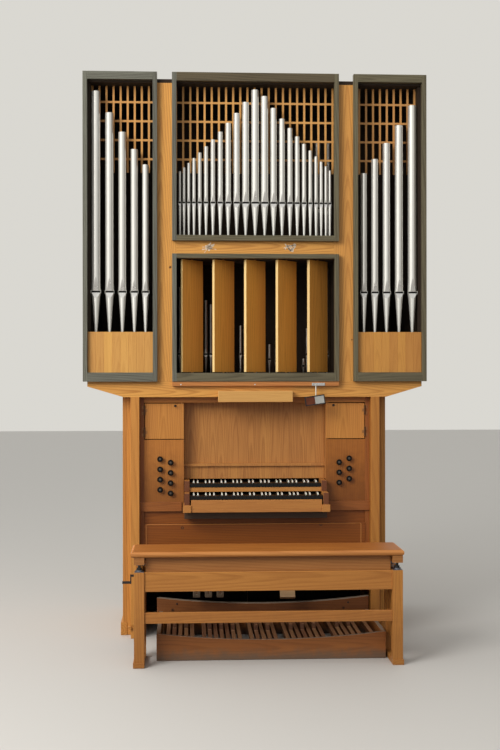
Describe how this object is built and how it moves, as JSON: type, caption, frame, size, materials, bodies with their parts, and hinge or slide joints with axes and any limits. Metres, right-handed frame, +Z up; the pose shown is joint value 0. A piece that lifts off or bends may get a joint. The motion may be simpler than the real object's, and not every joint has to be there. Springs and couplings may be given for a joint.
{
  "type": "pipe organ",
  "caption": "Two-manual pipe organ in a wooden case with facade pipe towers, swell shutters, draw stops, pedalboard and crank-height bench.",
  "frame": {"origin": "on the floor, under the middle of the outer box of organ, pedalboard and bench", "axes": "+Z up, +X to the right of someone facing the organ, +Y away from them, towards the back of the case"},
  "size_m": [2.026, 1.719, 3.327],
  "materials": {
    "pine_front": "satin",
    "pine_side": "satin",
    "console_wood": "satin",
    "bench_wood": "satin",
    "pedal_wood": "matt",
    "shutter_wood": "satin",
    "lattice_wood": "satin",
    "pale_panel": "satin",
    "green_frame": "satin",
    "dark_wood": "matt",
    "pipe_tin": "satin",
    "dull_tin": "satin",
    "bright_metal": "satin",
    "black_metal": "satin",
    "black_plastic": "gloss",
    "black_keys": "satin",
    "white_keys": "gloss"
  },
  "bodies": {
    "organ": {"case_front": "pine_front", "fascia_board": "pine_front", "case_sides": "pine_side", "back_panels": "pine_side", "case_roof": "pine_side", "case_floor": "pine_side", "tower_frames": "green_frame", "centre_frame": "green_frame", "swell_frame": "green_frame", "tower_panels": "pale_panel", "tower_pipes": "pipe_tin", "centre_pipes": "pipe_tin", "pipe_lattices": "lattice_wood", "toe_boards": "dark_wood", "swell_box": "dark_wood", "inner_pipes": "dull_tin", "ledge_strip": "pine_front", "desk_lamp": "pale_panel", "metal_brackets": "bright_metal", "front_posts": "pine_front", "console_sides": "pine_side", "console_frame": "console_wood", "stop_jambs": "console_wood", "music_desk": "console_wood", "key_frame": "console_wood", "natural_keys": "black_keys", "sharp_keys": "white_keys", "knee_panel": "console_wood", "pedalboard_frame": "pedal_wood", "pedal_keys": "pedal_wood", "coupler_pedals": "pedal_wood", "bench_ends": "bench_wood", "bench_rails": "bench_wood"},
    "swell_shutter_1": {"swell_shutter_1": "shutter_wood"},
    "swell_shutter_2": {"swell_shutter_2": "shutter_wood"},
    "swell_shutter_3": {"swell_shutter_3": "shutter_wood"},
    "swell_shutter_4": {"swell_shutter_4": "shutter_wood"},
    "swell_shutter_5": {"swell_shutter_5": "shutter_wood"},
    "swell_pedal": {"swell_pedal": "pale_panel"},
    "left_door": {"left_door": "console_wood"},
    "right_door": {"right_door": "console_wood"},
    "stop_knob_1": {"stop_knob_1": "black_plastic"},
    "stop_knob_2": {"stop_knob_2": "black_plastic"},
    "stop_knob_3": {"stop_knob_3": "black_plastic"},
    "stop_knob_4": {"stop_knob_4": "black_plastic"},
    "stop_knob_5": {"stop_knob_5": "black_plastic"},
    "stop_knob_6": {"stop_knob_6": "black_plastic"},
    "stop_knob_7": {"stop_knob_7": "black_plastic"},
    "stop_knob_8": {"stop_knob_8": "black_plastic"},
    "stop_knob_9": {"stop_knob_9": "black_plastic"},
    "stop_knob_10": {"stop_knob_10": "black_plastic"},
    "stop_knob_11": {"stop_knob_11": "black_plastic"},
    "stop_knob_12": {"stop_knob_12": "black_plastic"},
    "stop_knob_13": {"stop_knob_13": "black_plastic"},
    "stop_knob_14": {"stop_knob_14": "black_plastic"},
    "bench_seat": {"bench_seat": "bench_wood"},
    "bench_crank": {"bench_crank": "black_metal"},
    "mirror_arm": {"mirror_arm": "bright_metal"},
    "mirror_head": {"mirror_head": "black_plastic"}
  },
  "joints": [
    {"name": "swell_shutter_1_turn", "type": "hinge", "parent": "organ", "child": "swell_shutter_1", "pos_m": [-0.376, -0.0585, 1.9], "axis": [0, 0, 1], "range_deg": [-45, 32]},
    {"name": "swell_shutter_2_turn", "type": "hinge", "parent": "organ", "child": "swell_shutter_2", "pos_m": [-0.188, -0.0585, 1.9], "axis": [0, 0, 1], "range_deg": [-45, 32]},
    {"name": "swell_shutter_3_turn", "type": "hinge", "parent": "organ", "child": "swell_shutter_3", "pos_m": [0, -0.0585, 1.9], "axis": [0, 0, 1], "range_deg": [-45, 32]},
    {"name": "swell_shutter_4_turn", "type": "hinge", "parent": "organ", "child": "swell_shutter_4", "pos_m": [0.188, -0.0585, 1.9], "axis": [0, 0, 1], "range_deg": [-45, 32]},
    {"name": "swell_shutter_5_turn", "type": "hinge", "parent": "organ", "child": "swell_shutter_5", "pos_m": [0.376, -0.0585, 1.9], "axis": [0, 0, 1], "range_deg": [-45, 32]},
    {"name": "swell_pedal_rock", "type": "hinge", "parent": "organ", "child": "swell_pedal", "pos_m": [0.182, -0.1545, 0.322], "axis": [1, 0, 0], "range_deg": [-14.5, 20]},
    {"name": "left_door_swing", "type": "hinge", "parent": "organ", "child": "left_door", "pos_m": [-0.6575, -0.0855, 1.276], "axis": [0, 0, -1], "range_deg": [0, 100]},
    {"name": "right_door_swing", "type": "hinge", "parent": "organ", "child": "right_door", "pos_m": [0.6575, -0.0855, 1.276], "axis": [0, 0, 1], "range_deg": [0, 100]},
    {"name": "stop_knob_1_draw", "type": "slide", "parent": "organ", "child": "stop_knob_1", "axis": [0, -1, 0], "range_m": [0, 0.03]},
    {"name": "stop_knob_2_draw", "type": "slide", "parent": "organ", "child": "stop_knob_2", "axis": [0, -1, 0], "range_m": [0, 0.03]},
    {"name": "stop_knob_3_draw", "type": "slide", "parent": "organ", "child": "stop_knob_3", "axis": [0, -1, 0], "range_m": [0, 0.03]},
    {"name": "stop_knob_4_draw", "type": "slide", "parent": "organ", "child": "stop_knob_4", "axis": [0, -1, 0], "range_m": [0, 0.03]},
    {"name": "stop_knob_5_draw", "type": "slide", "parent": "organ", "child": "stop_knob_5", "axis": [0, -1, 0], "range_m": [0, 0.03]},
    {"name": "stop_knob_6_draw", "type": "slide", "parent": "organ", "child": "stop_knob_6", "axis": [0, -1, 0], "range_m": [0, 0.03]},
    {"name": "stop_knob_7_draw", "type": "slide", "parent": "organ", "child": "stop_knob_7", "axis": [0, -1, 0], "range_m": [0, 0.03]},
    {"name": "stop_knob_8_draw", "type": "slide", "parent": "organ", "child": "stop_knob_8", "axis": [0, -1, 0], "range_m": [0, 0.03]},
    {"name": "stop_knob_9_draw", "type": "slide", "parent": "organ", "child": "stop_knob_9", "axis": [0, -1, 0], "range_m": [0, 0.03]},
    {"name": "stop_knob_10_draw", "type": "slide", "parent": "organ", "child": "stop_knob_10", "axis": [0, -1, 0], "range_m": [0, 0.03]},
    {"name": "stop_knob_11_draw", "type": "slide", "parent": "organ", "child": "stop_knob_11", "axis": [0, -1, 0], "range_m": [0, 0.03]},
    {"name": "stop_knob_12_draw", "type": "slide", "parent": "organ", "child": "stop_knob_12", "axis": [0, -1, 0], "range_m": [0, 0.03]},
    {"name": "stop_knob_13_draw", "type": "slide", "parent": "organ", "child": "stop_knob_13", "axis": [0, -1, 0], "range_m": [0, 0.03]},
    {"name": "stop_knob_14_draw", "type": "slide", "parent": "organ", "child": "stop_knob_14", "axis": [0, -1, 0], "range_m": [0, 0.03]},
    {"name": "bench_crank_turn", "type": "hinge", "parent": "organ", "child": "bench_crank", "pos_m": [-0.687, -0.8295, 0.487], "axis": [1, 0, 0], "range_deg": [-288, 2880]},
    {"name": "bench_seat_lift", "type": "slide", "parent": "organ", "child": "bench_seat", "axis": [0, 0, 1], "range_m": [-0.008, 0.08]},
    {"name": "mirror_arm_swivel", "type": "hinge", "parent": "organ", "child": "mirror_arm", "pos_m": [0.352, -0.1895, 1.45], "axis": [0, 0, 1], "range_deg": [-35, 35]},
    {"name": "mirror_head_tilt", "type": "hinge", "parent": "mirror_arm", "child": "mirror_head", "pos_m": [0.352, -0.1895, 1.413], "axis": [1, 0, 0], "range_deg": [-20, 20]}
  ],
  "couplings": [
    {"joint": "swell_shutter_1_turn", "follows": "swell_shutter_3_turn", "ratio": 1},
    {"joint": "swell_shutter_2_turn", "follows": "swell_shutter_3_turn", "ratio": 1},
    {"joint": "swell_shutter_4_turn", "follows": "swell_shutter_3_turn", "ratio": 1},
    {"joint": "swell_shutter_5_turn", "follows": "swell_shutter_3_turn", "ratio": 1},
    {"joint": "swell_pedal_rock", "follows": "swell_shutter_3_turn", "ratio": -0.4375},
    {"joint": "bench_crank_turn", "follows": "bench_seat_lift", "rad_per_m": 628.32}
  ]
}
